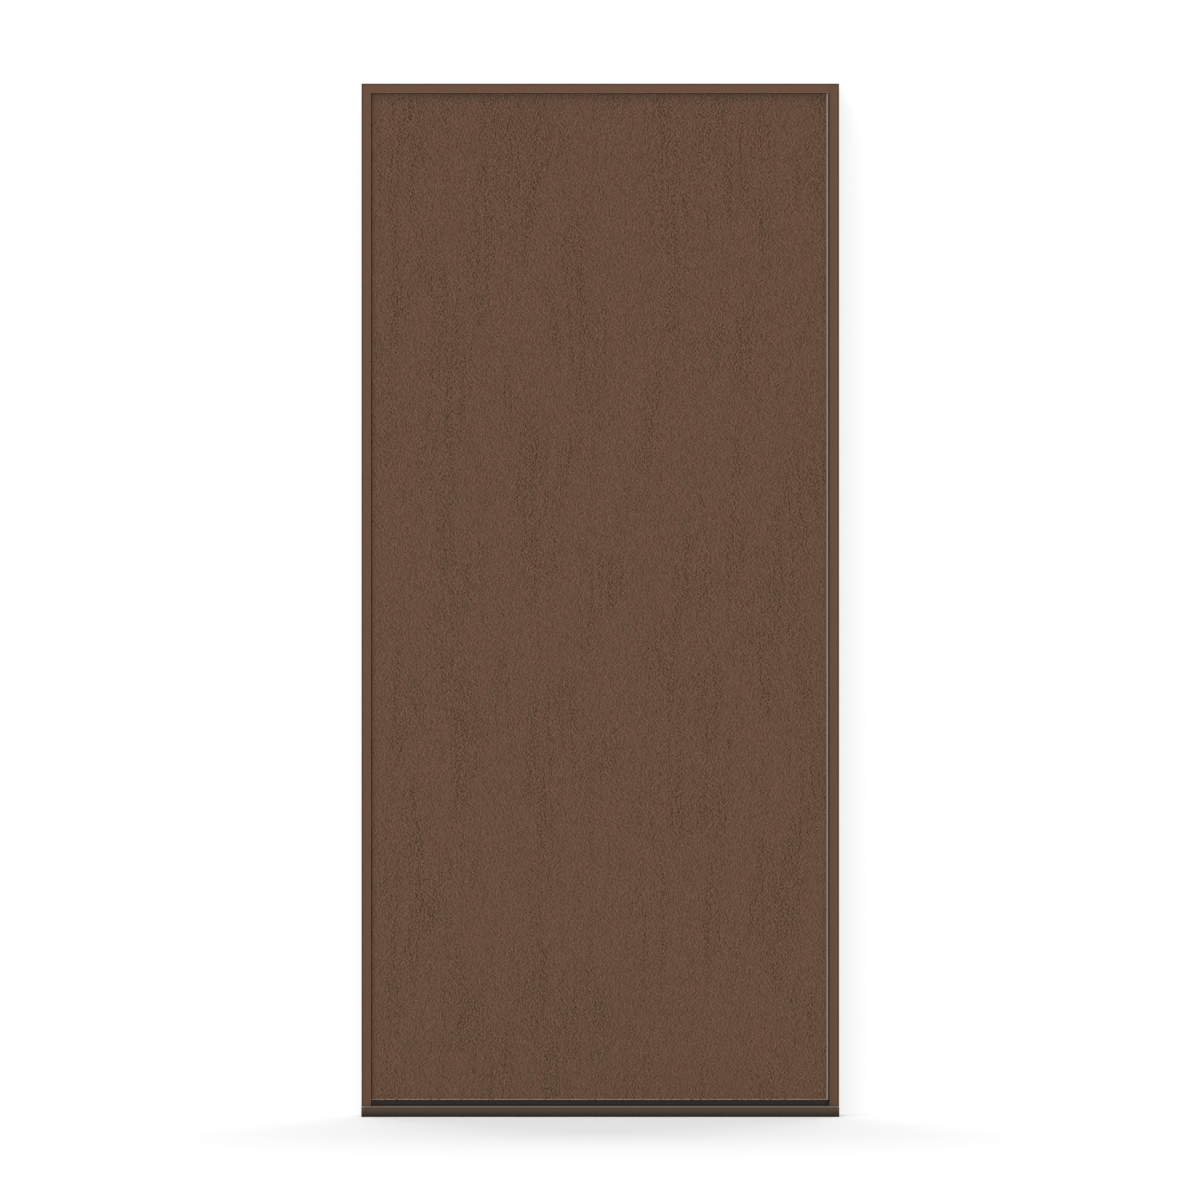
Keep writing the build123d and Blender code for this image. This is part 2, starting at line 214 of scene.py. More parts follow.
class Finish:
    """A material with one shader, and the nodes that vary it."""

    def __init__(self, name):
        self.material = bpy.data.materials.new(name)
        self.material.use_nodes = True
        self.tree = self.material.node_tree
        self.tree.nodes.clear()
        self.output = self.tree.nodes.new("ShaderNodeOutputMaterial")

    def node(self, kind, settings=None, sockets=None, output=0):
        """A node of a kind, its settings made first and then its sockets set or linked."""
        made = self.tree.nodes.new(kind)
        for name, setting in (settings or {}).items():
            setattr(made, name, setting)
        for name, value in (sockets or {}).items():
            if isinstance(value, Value):
                self.tree.links.new(value.socket, made.inputs[name])
            else:
                made.inputs[name].default_value = value
        return Value(self, made.outputs[output])

    def place(self):
        """The point on the piece, in the door's own frame."""
        return self.node("ShaderNodeTexCoord", None, None, "Object")

    def axes(self, point=None):
        """X, Y and Z of a point."""
        parts = self.node("ShaderNodeSeparateXYZ", None, {0: point or self.place()})
        return parts["X"], parts["Y"], parts["Z"]

    def point(self, x, y, z):
        """A point from three values."""
        return self.node("ShaderNodeCombineXYZ", None, {0: x, 1: y, 2: z})

    def noise(self, point, size, detail=2.0, roughness=0.5, seed=0.0):
        """Noise from 0 to 1 whose features measure about size, in metres along X, Y and Z."""
        scale = tuple(1.0 / length for length in size)
        moved = self.node(
            "ShaderNodeMapping",
            {"vector_type": "POINT"},
            {"Vector": point, "Location": (seed, seed * 1.7, seed * 2.3), "Scale": scale},
        )
        return self.node(
            "ShaderNodeTexNoise",
            {"noise_dimensions": "3D"},
            {"Vector": moved, "Scale": 1.0, "Detail": detail, "Roughness": roughness},
        )

    def step(self, value, low, high):
        """0 below low, 1 above high and smooth between; low may be above high."""
        return self.node(
            "ShaderNodeMapRange",
            {"interpolation_type": "SMOOTHSTEP", "clamp": True},
            {"Value": value, "From Min": low, "From Max": high},
        )

    def line(self, value):
        """1 along a hairline where the value is 0, and 0 beside it."""
        return self.step(value, *JOINT_LINE) * self.step(value, *mirrored(JOINT_LINE))

    def mixed(self, amount, first, second, way="MIX"):
        """Two colours mixed."""
        return self.node(
            "ShaderNodeMix",
            {"data_type": "RGBA", "blend_type": way, "clamp_result": True},
            {0: amount, 6: first, 7: second},
            2,
        )

    def bump(self, height, strength, distance):
        """A normal from a height map, with its relief in metres."""
        return self.node(
            "ShaderNodeBump", None, {"Height": height, "Strength": strength, "Distance": distance}
        )

    def surface(self, **sockets):
        """The shader itself, linked to the material's output."""
        names = {name.replace("_", " "): value for name, value in sockets.items()}
        shader = self.node("ShaderNodeBsdfPrincipled", None, names)
        self.tree.links.new(shader.socket, self.output.inputs["Surface"])
        return self.material


def mirrored(band):
    """A band on the other side of its edge."""
    return tuple(-end for end in band)


def screen(*colour):
    """A screen colour from 0 to 255, as linear light for a colour property."""
    parts = (part / 255 for part in colour)
    return tuple(part / 12.92 if part <= 0.04045 else ((part + 0.055) / 1.055) ** 2.4 for part in parts)


def shade(colour, amount):
    """A colour property made lighter or darker, as a socket's colour."""
    return tuple(min(1.0, part * amount) for part in colour) + (1.0,)


def corners(node):
    """Lowest and highest corner of a CAD node."""
    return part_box(node)


def wear(node_names, material):
    """Gives a finish to CAD nodes."""
    for name in node_names:
        slots = frame["nodes"][name].data.materials
        slots.clear()
        slots.append(material)


class DoorColours(bpy.types.PropertyGroup):
    """Colours of the door's finishes."""

    leaf: bpy.props.FloatVectorProperty(
        name="Leaf stain", description="Stain on the raised grain of the skins", subtype="COLOR",
        default=screen(123, 95, 79), min=0, max=1,
    )
    leaf_grain: bpy.props.FloatVectorProperty(
        name="Leaf grain", description="Stain that settles in the grain", subtype="COLOR",
        default=screen(66, 35, 16), min=0, max=1,
    )
    leaf_olive: bpy.props.FloatVectorProperty(
        name="Leaf olive tone", description="Glaze that makes the stain greener in patches",
        subtype="COLOR", default=(0.90, 1.0, 0.945), min=0, max=1,
    )
    # Painted shade along the leaf's top and lock edges, under the head and beside the lock jamb
    leaf_shade: bpy.props.FloatVectorProperty(
        name="Leaf shade", description="Dust along the leaf's top and lock edges", subtype="COLOR",
        default=screen(50, 52, 45), min=0, max=1,
    )
    # Painted highlight in the colour of bare skin: dashed along the leaf's bottom edge, faint along its top
    raw_edge_highlight: bpy.props.FloatVectorProperty(
        name="Raw skin edge", description="Bare skin at the leaf's bottom edge, faint at its top",
        subtype="COLOR", default=screen(228, 194, 176), min=0, max=1,
    )
    frame: bpy.props.FloatVectorProperty(
        name="Frame finish", description="Brown finish of the jambs", subtype="COLOR",
        default=screen(99, 73, 56), min=0, max=1,
    )
    # Painted shade along the frame's outer corner
    frame_edge_shade: bpy.props.FloatVectorProperty(
        name="Frame corner", description="Finish gathered along the frame's outer corner", subtype="COLOR",
        default=screen(73, 39, 10), min=0, max=1,
    )
    steel: bpy.props.FloatVectorProperty(
        name="Hinge steel", description="Satin steel of the hinge", subtype="COLOR",
        default=screen(161, 151, 144), min=0, max=1,
    )
    # Painted shade on the barrel where it meets the jamb and on its inner side
    hinge_shade: bpy.props.FloatVectorProperty(
        name="Hinge soil", description="Oil and dust between the barrel and the jamb", subtype="COLOR",
        default=screen(46, 24, 8), min=0, max=1,
    )
    bronze: bpy.props.FloatVectorProperty(
        name="Sill bronze", description="Dark anodising of the sill", subtype="COLOR",
        default=screen(82, 67, 55), min=0, max=1,
    )
    # Scuffed pale bronze that is also a painted highlight along the sill's lip
    bronze_scuff_highlight: bpy.props.FloatVectorProperty(
        name="Scuffed bronze", description="Sill where shoes have rubbed its nose", subtype="COLOR",
        default=screen(144, 131, 117), min=0, max=1,
    )
    vinyl: bpy.props.FloatVectorProperty(
        name="Black vinyl", description="Sweep, bulb and thermal break", subtype="COLOR",
        default=screen(38, 35, 31), min=0, max=1,
    )
    seal: bpy.props.FloatVectorProperty(
        name="Frame seal", description="Sheath of the compression seals", subtype="COLOR",
        default=screen(62, 50, 42), min=0, max=1,
    )
    timber: bpy.props.FloatVectorProperty(
        name="Leaf timber", description="Stained edges of the stiles", subtype="COLOR",
        default=screen(112, 84, 62), min=0, max=1,
    )
    composite: bpy.props.FloatVectorProperty(
        name="Composite", description="Rails of the leaf and the block in the sill", subtype="COLOR",
        default=screen(120, 108, 94), min=0, max=1,
    )


class DoorSizes(bpy.types.PropertyGroup):
    """Sizes of what is added to the door, in metres."""

    plate_thickness: bpy.props.FloatProperty(
        name="Plate thickness", description="Thickness of the hinge plates", default=0.0015,
        unit="LENGTH",
    )
    screw_head: bpy.props.FloatProperty(
        name="Screw head", description="Diameter of the hinge screws' heads", default=0.0075,
        unit="LENGTH",
    )
    screw_rise: bpy.props.FloatProperty(
        name="Screw rise", description="How far the heads stand above the plate", default=0.0009,
        unit="LENGTH",
    )
    screw_pitch: bpy.props.FloatProperty(
        name="Screw pitch", description="Height from one hinge screw to the next", default=0.0762,
        unit="LENGTH",
    )
    screw_stagger: bpy.props.FloatProperty(
        name="Screw stagger", description="Depth between the two lines of screws", default=0.0095,
        unit="LENGTH",
    )
    view_height: bpy.props.FloatProperty(
        name="View height", description="Height of the picture at the door", default=2.3932,
        unit="LENGTH",
    )
    view_aside: bpy.props.FloatProperty(
        name="View aside", description="How far right of the middle the camera stands", default=-0.0006,
        unit="LENGTH",
    )
    view_above: bpy.props.FloatProperty(
        name="View above", description="How far above the middle the camera stands", default=0.0001,
        unit="LENGTH",
    )
    view_distance: bpy.props.FloatProperty(
        name="View distance", description="Distance of the camera from the door", default=30.0,
        unit="LENGTH",
    )


def grained_fiberglass(colours):
    """Moulded skin: short upright grain pressed into it in streaks, with stain settled in the grain, painted
    shade and painted edge highlights.
    """
    finish = Finish("grained_fiberglass")
    place = finish.place()
    x, y, z = finish.axes(place)
    sway = finish.noise(place, SWAY, 1.0)
    lean = finish.noise(place, LEAN, 1.0, seed=3.0)
    streaky = finish.point(x + (sway - 0.5) * SWAY_WIDTH, y, z)
    streaks = finish.noise(streaky, STREAK, 3.0, 0.6, seed=5.0)
    calm = finish.step(finish.noise(streaky, CALM_PATCH, 2.0, 0.5, seed=47.0), 0.42, 0.54)
    dark_streaks = finish.step(streaks, 0.60, 0.34) * (1.0 - calm * 0.85)
    across = x + (lean - 0.5) * LEAN_WIDTH
    leaning = finish.point(across, y, z)
    ticks = finish.noise(leaning, TICK, 1.0, 0.6, seed=11.0)
    # Painted shade: a darker flank beside each tick, as if the grain were lit from the side
    shaded_flank = finish.noise(finish.point(across + SHADED_FLANK_SHIFT, y, z), TICK, 1.0, 0.6, seed=11.0)
    relief = ticks - shaded_flank * 0.36 - 0.32
    pores = finish.noise(leaning, PORE, 2.0, 0.6, seed=23.0)
    strength = 0.82 + dark_streaks * 0.54 - calm * 0.08
    tone = 0.575 + relief * strength * 2.08 + (pores - 0.5) * 0.8 - dark_streaks * 0.06
    # Painted shade: darker for each metre up the leaf, to even out the light on it
    levelled = tone - z * STAIN_SHADE_PER_METRE
    stain = finish.mixed(levelled, (*colours.leaf_grain, 1.0), (*colours.leaf, 1.0))
    tint = finish.noise(place, TINT_PATCH, 5.0, 0.72, seed=31.0)
    olive = finish.step(tint + (dark_streaks - 0.3) * 0.14, 0.36, 0.64)
    toned = finish.mixed(olive, stain, (*colours.leaf_olive, 1.0), "MULTIPLY")
    low, high = corners("outside_skin")
    from_top = z - high.z
    # Painted shade under the head jamb and beside the lock jamb
    under_head_shade = finish.step(from_top, *HEAD_SHADE_BELOW) * finish.step(from_top, *HEAD_SHADE_ABOVE) * 0.19
    beside_jamb_shade = finish.step(x - low.x, *JAMB_SHADE) * 0.34
    shaded = finish.mixed(under_head_shade + beside_jamb_shade, toned, (*colours.leaf_shade, 1.0))
    # Painted highlight in bare-skin colour: dashes along the bottom edge and a faint band along the top
    highlight_dashes = finish.noise(place, HIGHLIGHT_DASH, 2.0, 0.6, seed=41.0)
    bottom_highlight = finish.step(z - low.z, *RAW_BOTTOM_HIGHLIGHT) * finish.step(highlight_dashes, 0.32, 0.52)
    top_rim_highlight = finish.step(from_top, *RAW_TOP_HIGHLIGHT)
    colour = finish.mixed(bottom_highlight * 0.95 + top_rim_highlight * 0.12, shaded, (*colours.raw_edge_highlight, 1.0))
    height = ticks * strength + pores * 0.5 - dark_streaks * 0.3
    return finish.surface(
        Base_Color=colour, Roughness=0.6 + (ticks - 0.5) * 0.25 + bottom_highlight * 0.1,
        Specular_IOR_Level=0.05, Normal=finish.bump(height, 0.9, 0.0005),
    )


def brown_timber_finish(colours):
    """Smooth brown finish with its joints, painted shade on the frame's outer corner and beside the hinge,
    and a painted highlight on its inner arris.
    """
    finish = Finish("brown_frame_finish")
    place = finish.place()
    x, y, z = finish.axes(place)
    cloud = finish.noise(place, (0.06, 0.06, 0.5), 3.0, 0.55, seed=2.0)
    fine = finish.noise(place, (0.0016, 0.0016, 0.03), 2.0, 0.6, seed=9.0)
    tone = (cloud - 0.5) * 0.22 + (fine - 0.5) * 0.10 + 0.5
    colour = finish.mixed(tone, shade(colours.frame, 0.93), shade(colours.frame, 1.07))
    front, inner = corners("head_jamb")[0].y, corners("head_jamb")[1].x
    top = CAD_HIGH.z
    near_front = finish.step(y - front, *NEAR_FRONT)
    from_middle = finish.node("ShaderNodeMath", {"operation": "ABSOLUTE"}, {0: x})
    level = from_middle + top - CAD_HIGH.x
    corner = finish.node("ShaderNodeMath", {"operation": "MAXIMUM"}, {0: level, 1: z})
    from_edge = corner - top
    from_side = from_middle - inner
    # Painted shade along the frame's outer corner and its rounding
    rounded_shade = finish.step(from_edge, *ROUNDED_CORNER_SHADE)
    outline_shade = (finish.step(from_edge, *CORNER_SHADE) * 0.5 + rounded_shade * 0.5) * near_front
    # Painted shadow on the jamb beside the hinge's barrel
    hinge_side_shadow = finish.step(x - inner, *HINGE_SHADOW) * finish.step(x - inner, *HINGE_SHADOW_INSIDE)
    hinge_shadowed = finish.mixed(hinge_side_shadow * 0.12, colour, shade(colours.frame, 0.3))
    from_stop = y - corners("inside_skin")[1].y - SEAL_SPACE
    joint = finish.line(from_side + finish.step(from_stop, *STOP_TURN) * STOP_PROJECTION)
    into_stop = from_side + STOP_PROJECTION
    on_stop = finish.step(from_side, *mirrored(STOP_TURN)) * finish.step(into_stop, *STOP_END)
    drawn = (joint + finish.line(from_stop) * on_stop) * finish.step(z - top, *TOP_FACE)
    jointed = finish.mixed(drawn * 0.7, hinge_shadowed, shade(colours.frame, 0.2))
    under = finish.step(from_side, *UNDER_HEAD)
    # Painted highlight on the inner arris, stronger under the head
    arris = finish.step(from_edge + under * HEAD_ARRIS_DROP, *ARRIS)
    pale_highlight = arris * finish.step(y - front, *ARRIS_DEPTH) * (0.3 + under * 0.6)
    arris_highlighted = finish.mixed(pale_highlight, jointed, shade(colours.frame, 2.6))
    edge_shaded = finish.mixed(outline_shade, arris_highlighted, (*colours.frame_edge_shade, 1.0))
    return finish.surface(
        Base_Color=edge_shaded, Roughness=0.5 + (fine - 0.5) * 0.16, Specular_IOR_Level=0.08,
        Normal=finish.bump(fine * 0.6 + cloud * 0.4, 0.35, 0.0002),
    )


def satin_steel(colours):
    """Dull satin steel, brushed along the hinge, with painted shade where the barrel meets the jamb and on
    its inner side.
    """
    finish = Finish("satin_steel")
    brushed = finish.noise(finish.place(), (0.0004, 0.0004, 0.02), 2.0, 0.6, seed=4.0)
    cloud = finish.noise(finish.place(), (0.02, 0.02, 0.05), 3.0, 0.6, seed=8.0)
    tone = (brushed - 0.5) * 0.5 + (cloud - 0.5) * 0.5 + 0.5
    colour = finish.mixed(tone, shade(colours.steel, 0.82), shade(colours.steel, 1.12))
    x, y, _ = finish.axes()
    low, high = corners("hinge_pin")
    pin = (low + high) / 2
    across, through = x - pin.x, y - pin.y
    # Painted shade on the barrel beside the jamb and on its inner side
    outside = finish.step(across, *SHADE_ACROSS) * finish.step(through, *SHADE_THROUGH)
    behind = finish.step(across, *mirrored(SHADE_ACROSS)) * finish.step(through, *mirrored(SHADE_THROUGH))
    crevice_shade = outside + behind * finish.step(through, *SHADE_ENDS)
    shaded_steel = finish.mixed(crevice_shade * 0.94, colour, (*colours.hinge_shade, 1.0))
    return finish.surface(
        Base_Color=shaded_steel, Metallic=0.4 - crevice_shade * 0.4, Roughness=0.5 + (cloud - 0.5) * 0.2,
        Specular_IOR_Level=0.2, Normal=finish.bump(brushed, 0.25, 0.0001),
    )


def screw_steel(colours):
    """Plated screw heads, their tone varying at random."""
    finish = Finish("screw_steel")
    turned = finish.noise(finish.place(), (0.0008, 0.0008, 0.0008), 2.0, 0.6, seed=15.0)
    batch = finish.noise(finish.place(), (0.03, 0.03, 0.05), 1.0, 0.5, seed=18.0)
    tone = (turned - 0.5) * 0.6 + (batch - 0.5) * 0.6 + 0.5
    colour = finish.mixed(tone, shade(colours.steel, 0.75), shade(colours.steel, 1.25))
    return finish.surface(
        Base_Color=colour, Metallic=0.8, Roughness=0.38 + (turned - 0.5) * 0.2,
        Normal=finish.bump(turned, 0.2, 0.00005),
    )


def dark_bronze(colours):
    """Anodised aluminium with extrusion lines, a pale scuffed band on its nose that is also a painted
    highlight, and painted shade darkening it towards its foot and under the sweep.
    """
    finish = Finish("dark_bronze_aluminium")
    place = finish.place()
    _, y, z = finish.axes(place)
    lines = finish.noise(place, (0.4, 0.0006, 0.0006), 2.0, 0.6, seed=6.0)
    cloud = finish.noise(place, (0.05, 0.02, 0.02), 3.0, 0.6, seed=12.0)
    tone = (lines - 0.5) * 0.35 + (cloud - 0.5) * 0.25 + 0.5
    colour = finish.mixed(tone, shade(colours.bronze, 0.88), shade(colours.bronze, 1.12))
    highlight_scuff = finish.noise(place, (0.012, 0.004, 0.004), 4.0, 0.65, seed=17.0)
    # Painted highlight along the sill's lip, partly scuffing
    lip_highlight = finish.step(z, *LIP_HIGHLIGHT_BELOW) * finish.step(z, *LIP_HIGHLIGHT_ABOVE)
    at_nose = finish.step(y, *NOSE_DEPTH)
    pale_highlight = lip_highlight * at_nose * (0.8 + (highlight_scuff - 0.5) * 0.5)
    # Painted shade: darker towards the sill's foot and under the sweep
    nose_shade = finish.step(z, *SHADE_AT_FOOT) + finish.step(z, *SHADE_UNDER_SWEEP) * at_nose * 0.8
    darkened = finish.mixed(nose_shade, colour, shade(colours.bronze, 0.15))
    shown = finish.mixed(pale_highlight, darkened, (*colours.bronze_scuff_highlight, 1.0))
    return finish.surface(
        Base_Color=shown, Metallic=0.1, Roughness=0.6 + (cloud - 0.5) * 0.2, Specular_IOR_Level=0.08,
        Normal=finish.bump(lines, 0.3, 0.00015),
    )


def black_vinyl(colours):
    """Extruded black vinyl with faint lines along it."""
    finish = Finish("black_vinyl")
    lines = finish.noise(finish.place(), (0.3, 0.0009, 0.0009), 2.0, 0.5, seed=14.0)
    dust = finish.noise(finish.place(), (0.02, 0.006, 0.004), 4.0, 0.7, seed=19.0)
    tone = (lines - 0.5) * 0.6 + (dust - 0.5) * 0.5 + 0.5
    colour = finish.mixed(tone, shade(colours.vinyl, 0.85), shade(colours.vinyl, 1.2))
    return finish.surface(
        Base_Color=colour, Roughness=0.5 + (dust - 0.5) * 0.25, Specular_IOR_Level=0.12,
        Normal=finish.bump(lines, 0.3, 0.0002),
    )


def seal_sheath(colours):
    """Matt film over the foam of a compression seal, a little puckered."""
    finish = Finish("seal_sheath")
    pucker = finish.noise(finish.place(), (0.003, 0.003, 0.004), 3.0, 0.6, seed=21.0)
    cloud = finish.noise(finish.place(), (0.02, 0.02, 0.06), 2.0, 0.5, seed=27.0)
    tone = (pucker - 0.5) * 0.4 + (cloud - 0.5) * 0.4 + 0.5
    colour = finish.mixed(tone, shade(colours.seal, 0.85), shade(colours.seal, 1.15))
    return finish.surface(
        Base_Color=colour, Roughness=0.62 + (pucker - 0.5) * 0.2, Specular_IOR_Level=0.3,
        Normal=finish.bump(pucker, 0.3, 0.0003),
    )


def stained_timber(colours):
    """Planed and stained timber with its grain along the stile."""
    finish = Finish("stained_timber")
    x, y, z = finish.axes()
    drift = finish.noise(finish.place(), (0.03, 0.03, 0.3), 2.0, seed=1.0)
    bent = finish.point(x + (drift - 0.5) * 0.01, y + (drift - 0.5) * 0.012, z)
    rings = finish.noise(bent, (0.0035, 0.0035, 0.3), 3.0, 0.6, seed=13.0)
    pores = finish.noise(bent, (0.0006, 0.0006, 0.02), 2.0, 0.5, seed=37.0)
    tone = (rings - 0.5) * 1.3 + (pores - 0.5) * 0.5 + 0.5
    colour = finish.mixed(tone, shade(colours.timber, 0.7), shade(colours.timber, 1.2))
    return finish.surface(
        Base_Color=colour, Roughness=0.55 + (pores - 0.5) * 0.3, Specular_IOR_Level=0.3,
        Normal=finish.bump(rings * 0.5 + pores * 0.5, 0.4, 0.0002),
    )


def sawn_composite(colours):
    """Moulded composite with flecks of filler, as sawn."""
    finish = Finish("sawn_composite")
    flecks = finish.noise(finish.place(), (0.0018, 0.0018, 0.0018), 4.0, 0.7, seed=29.0)
    cloud = finish.noise(finish.place(), (0.03, 0.02, 0.03), 2.0, 0.5, seed=33.0)
    tone = (flecks - 0.5) * 1.1 + (cloud - 0.5) * 0.5 + 0.5
    colour = finish.mixed(tone, shade(colours.composite, 0.68), shade(colours.composite, 1.15))
    return finish.surface(
        Base_Color=colour, Roughness=0.8 + (cloud - 0.5) * 0.2, Specular_IOR_Level=0.2,
        Normal=finish.bump(flecks, 0.5, 0.0003),
    )


def cream_foam(colours):
    """Rigid foam with fine cells."""
    finish = Finish("rigid_foam")
    cells = finish.noise(finish.place(), (0.001, 0.001, 0.001), 3.0, 0.7, seed=39.0)
    colour = finish.mixed(cells, *FOAM_COLOURS)
    return finish.surface(Base_Color=colour, Roughness=0.9, Normal=finish.bump(cells, 0.5, 0.0003))


class DOOR_OT_finish_leaf(bpy.types.Operator):
    """Finish the leaf's skins, stiles, rails and core"""

    bl_idname = "door.finish_leaf"
    bl_label = "Finish leaf"

    def execute(self, context):
        colours = context.scene.door_colours
        wear(LEAF_SKINS, grained_fiberglass(colours))
        wear(LEAF_TIMBER, stained_timber(colours))
        wear((*LEAF_COMPOSITE, "sill_substrate"), sawn_composite(colours))
        wear(("foam_core",), cream_foam(colours))
        return {"FINISHED"}


class DOOR_OT_finish_frame(bpy.types.Operator):
    """Finish the jambs and their seals"""

    bl_idname = "door.finish_frame"
    bl_label = "Finish frame"

    def execute(self, context):
        colours = context.scene.door_colours
        wear(FRAME_TIMBER, brown_timber_finish(colours))
        wear((*FRAME_SEALS, *CORNER_PADS), seal_sheath(colours))
        return {"FINISHED"}


class DOOR_OT_finish_metal(bpy.types.Operator):
    """Finish the hinge, the sill and the vinyl"""

    bl_idname = "door.finish_metal"
    bl_label = "Finish hinge and sill"

    def execute(self, context):
        colours = context.scene.door_colours
        wear(HINGE_STEEL, satin_steel(colours))
        wear(SILL_ALUMINIUM, dark_bronze(colours))
        wear(BLACK_VINYL, black_vinyl(colours))
        return {"FINISHED"}


def start_mesh():
    """Leaves nothing selected, so that the next operators act on the new piece alone."""
    bpy.ops.object.select_all(action="DESELECT")


def edit_faces(piece, wanted):
    """Opens a piece in edit mode with only the wanted faces selected."""
    bpy.ops.object.mode_set(mode="EDIT")
    mesh = bmesh.from_edit_mesh(piece.data)
    for face in mesh.faces:
        face.select_set(False)
    for face in mesh.faces:
        if wanted(face):
            face.select_set(True)
    bmesh.update_edit_mesh(piece.data)


def make_hinge_screw(sizes, name):
    """A low screw head with a cross recess, standing on the origin and facing up."""
    start_mesh()
    radius, rise = sizes.screw_head / 2, sizes.screw_rise
    bpy.ops.mesh.primitive_cylinder_add(
        vertices=SCREW_SIDES, radius=radius, depth=rise, end_fill_type="NGON", location=(0, 0, rise / 2),
    )
    screw = bpy.context.active_object
    screw.name = name
    bpy.ops.object.transform_apply(location=True)
    edit_faces(screw, lambda face: face.normal.z > FACES_UP)
    bpy.ops.mesh.bevel(offset=rise * ROUNDING, segments=3, affect="EDGES")
    edit_faces(screw, lambda face: face.normal.z > FACES_UP and len(face.verts) == SCREW_SIDES)
    bpy.ops.mesh.inset(thickness=radius * RIM, use_even_offset=True)
    mesh = bmesh.from_edit_mesh(screw.data)
    recess = next(face for face in mesh.faces if face.select)
    for vertex in recess.verts:
        off_diagonal = math.degrees(math.atan2(vertex.co.y, vertex.co.x)) % 90 - 45
        vertex.select_set(abs(off_diagonal) < CROSS_CORNER)
    mesh.select_mode = {"VERT"}
    mesh.select_flush_mode()
    bpy.context.tool_settings.mesh_select_mode = (True, False, False)
    bmesh.update_edit_mesh(screw.data)
    top = (0, 0, rise)
    bpy.ops.transform.resize(value=(CROSS_INSIDE, CROSS_INSIDE, 1.0), center_override=top)
    bpy.context.tool_settings.mesh_select_mode = (False, False, True)
    near_top = rise * TOP_LEVEL
    edit_faces(
        screw, lambda face: len(face.verts) == SCREW_SIDES and face.calc_center_median().z > near_top
    )
    bpy.ops.mesh.extrude_region_shrink_fatten(
        TRANSFORM_OT_shrink_fatten={"value": -rise * RECESS_DEPTH}
    )
    bpy.ops.transform.resize(value=(RECESS_FOOT, RECESS_FOOT, 1.0), center_override=top)
    bpy.ops.object.mode_set(mode="OBJECT")
    bpy.ops.object.shade_smooth_by_angle(angle=math.radians(35))
    return screw


def place_copy(model, name, place, turn):
    """A copy of a piece with its own mesh, turned about Y and moved, its object at the origin."""
    copy = model.copy()
    copy.data = model.data.copy()
    copy.name = name
    copy.data.name = name
    bpy.context.scene.collection.objects.link(copy)
    copy.data.transform(Matrix.Translation(place) @ Matrix.Rotation(turn, 4, "Y"))
    return copy


def screw_line(sizes, model, node, face_x, turn, first):
    """Screw heads in two staggered lines down one plate of the hinge."""
    low, high = corners(node)
    middle = (low.y + high.y) / 2 + sizes.screw_stagger / 2
    count = int((high.z - low.z) / sizes.screw_pitch)
    start = (low.z + high.z - (count - 1) * sizes.screw_pitch) / 2
    screws = []
    for number in range(count):
        side = 1 if (number + first) % 2 else -1
        place = (face_x, middle + side * sizes.screw_stagger / 2, start + number * sizes.screw_pitch)
        screws.append(place_copy(model, f"{node}_screw_{number + 1:02d}", place, turn))
    return screws


class DOOR_OT_hinge_screws(bpy.types.Operator):
    """Screw both plates of the hinge down"""

    bl_idname = "door.hinge_screws"
    bl_label = "Hinge screws"

    def execute(self, context):
        sizes = context.scene.door_sizes
        steel = screw_steel(context.scene.door_colours)
        model = make_hinge_screw(sizes, "hinge_screw")
        model.data.materials.append(steel)
        jamb_plate, leaf_plate = corners("hinge_plate_jamb"), corners("hinge_plate_leaf")
        jamb_face = jamb_plate[1].x - sizes.plate_thickness
        leaf_face = leaf_plate[0].x + sizes.plate_thickness
        quarter_turn = math.radians(90)
        lines = (
            ("frame", screw_line(sizes, model, "hinge_plate_jamb", jamb_face, -quarter_turn, 0)),
            ("door_leaf", screw_line(sizes, model, "hinge_plate_leaf", leaf_face, quarter_turn, 1)),
        )
        bpy.data.objects.remove(model)
        for body, screws in lines:
            for screw in screws:
                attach(screw, body)
        return {"FINISHED"}


class DOOR_OT_stage(bpy.types.Operator):
    """Set the floor, the lights and the camera"""

    bl_idname = "door.stage"
    bl_label = "Stage"

    def execute(self, context):
        make_floor(context)
        make_backdrop(context)
        make_lights(context)
        make_camera(context)
        return {"FINISHED"}


def pale_studio(name, colour, glow, one_sided):
    """Matt white that keeps the door's shadow, for the camera, gloss and glass; dull or unseen to others."""
    finish = Finish(name)
    path = finish.node("ShaderNodeLightPath")
    seen = path["Is Camera Ray"] + path["Is Glossy Ray"] + path["Is Transmission Ray"]
    matt = finish.node("ShaderNodeBsdfDiffuse", None, {"Color": (*colour, 1.0)})
    white = finish.node("ShaderNodeEmission", None, {"Color": WHITE, "Strength": glow})
    bright = finish.node("ShaderNodeAddShader", None, {0: matt, 1: white})
    if one_sided:
        away = finish.node("ShaderNodeNewGeometry", None, None, "Backfacing")
        unseen = finish.node("ShaderNodeBsdfTransparent")
        facing = seen * (1.0 - away)
        shown = finish.node("ShaderNodeMixShader", None, {0: facing, 1: unseen, 2: bright})
    else:
        dull = finish.node("ShaderNodeBsdfDiffuse", None, {"Color": FLOOR_BOUNCE})
        shown = finish.node("ShaderNodeMixShader", None, {0: seen, 1: dull, 2: bright})
    finish.tree.links.new(shown.socket, finish.output.inputs["Surface"])
    return finish.material


def make_floor(context):
    """Pale floor under the sill."""
    bpy.ops.mesh.primitive_plane_add(size=FLOOR_SIZE, location=(0, 0, CAD_LOW.z))
    floor = context.active_object
    floor.name = "studio_floor"
    floor.data.materials.append(pale_studio("studio_floor", FLOOR_COLOUR, FLOOR_GLOW, False))


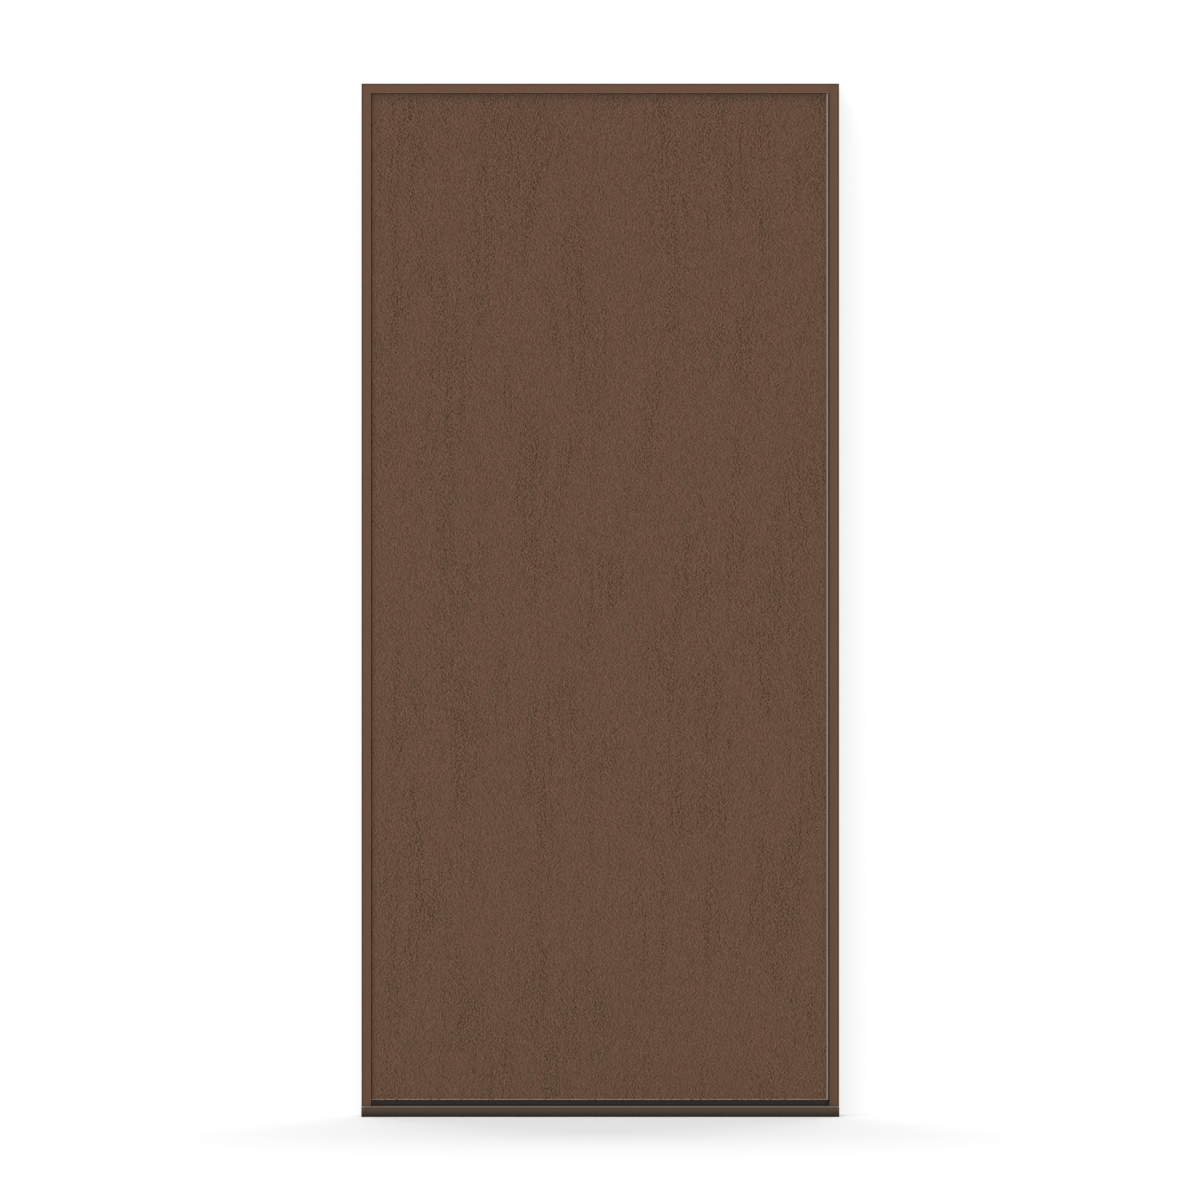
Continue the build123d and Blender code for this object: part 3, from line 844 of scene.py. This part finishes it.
def make_backdrop(context):
    """Pale backdrop just behind the frame, seen from outside only."""
    place = (0, CAD_HIGH.y + BACKDROP_GAP, CAD_LOW.z + BACKDROP_SIZE / 2)
    upright = (math.radians(90), 0, 0)
    bpy.ops.mesh.primitive_plane_add(size=BACKDROP_SIZE, location=place, rotation=upright)
    backdrop = context.active_object
    backdrop.name = "studio_backdrop"
    backdrop.data.materials.append(pale_studio("studio_backdrop", BACKDROP_COLOUR, BACKDROP_GLOW, True))


def make_lights(context):
    """A wide light from the front, a steep key from the upper left, a light behind and a weak fill."""
    for name, energy, spread, towards in LAMPS:
        sun = bpy.data.lights.new(name, "SUN")
        sun.energy = energy
        sun.angle = math.radians(spread)
        lamp = bpy.data.objects.new(name, sun)
        context.scene.collection.objects.link(lamp)
        lamp.rotation_euler = Vector(towards).to_track_quat("-Z", "Y").to_euler()
    world = bpy.data.worlds.new("studio")
    context.scene.world = world
    world.use_nodes = True
    tree = world.node_tree
    tree.nodes.clear()
    path = tree.nodes.new("ShaderNodeLightPath")
    seen = path.outputs["Is Camera Ray"]
    for ray in ("Is Glossy Ray", "Is Transmission Ray"):
        either = tree.nodes.new("ShaderNodeMath")
        either.operation = "MAXIMUM"
        tree.links.new(seen, either.inputs[0])
        tree.links.new(path.outputs[ray], either.inputs[1])
        seen = either.outputs[0]
    backgrounds = []
    for strength in (WORLD_FILL, 1.0):
        background = tree.nodes.new("ShaderNodeBackground")
        background.inputs["Color"].default_value = WHITE
        background.inputs["Strength"].default_value = strength
        backgrounds.append(background)
    choose = tree.nodes.new("ShaderNodeMixShader")
    output = tree.nodes.new("ShaderNodeOutputWorld")
    tree.links.new(seen, choose.inputs[0])
    tree.links.new(backgrounds[0].outputs[0], choose.inputs[1])
    tree.links.new(backgrounds[1].outputs[0], choose.inputs[2])
    tree.links.new(choose.outputs[0], output.inputs["Surface"])


def make_camera(context):
    """A long lens square on to the door, at half its height."""
    sizes = context.scene.door_sizes
    camera = bpy.data.cameras.new("camera")
    camera.sensor_width = SENSOR_WIDTH
    camera.lens = camera.sensor_width * sizes.view_distance / sizes.view_height
    camera.clip_end = 4 * sizes.view_distance
    holder = bpy.data.objects.new("camera", camera)
    context.scene.collection.objects.link(holder)
    middle = (CAD_LOW + CAD_HIGH) / 2
    holder.location = (
        middle.x + sizes.view_aside, -sizes.view_distance, middle.z + sizes.view_above,
    )
    holder.rotation_euler = (math.radians(90), 0, 0)
    context.scene.camera = holder


class DOOR_PT_panel(bpy.types.Panel):
    """Sizes, colours and steps of the door"""

    bl_idname = "DOOR_PT_panel"
    bl_label = "Entrance door"
    bl_space_type = "VIEW_3D"
    bl_region_type = "UI"
    bl_category = "Door"

    def draw(self, context):
        for group in (context.scene.door_sizes, context.scene.door_colours):
            for name in group.bl_rna.properties.keys():
                if name not in ("rna_type", "name"):
                    self.layout.prop(group, name)
        for step in STEPS:
            self.layout.operator(f"door.{step}")


CLASSES = (
    DoorColours,
    DoorSizes,
    DOOR_OT_finish_leaf,
    DOOR_OT_finish_frame,
    DOOR_OT_finish_metal,
    DOOR_OT_hinge_screws,
    DOOR_OT_stage,
    DOOR_PT_panel,
)


def register():
    """Adds the classes and the scene's settings."""
    for made in CLASSES:
        bpy.utils.register_class(made)
    bpy.types.Scene.door_colours = bpy.props.PointerProperty(type=DoorColours)
    bpy.types.Scene.door_sizes = bpy.props.PointerProperty(type=DoorSizes)


def unregister():
    """Takes the classes and the settings away."""
    del bpy.types.Scene.door_sizes
    del bpy.types.Scene.door_colours
    for made in reversed(CLASSES):
        bpy.utils.unregister_class(made)


def main():
    """Builds the looks in order."""
    register()
    bpy.context.scene.view_settings.view_transform = "Standard"
    for step in STEPS:
        getattr(bpy.ops.door, step)()


if __name__ == "__main__":
    main()
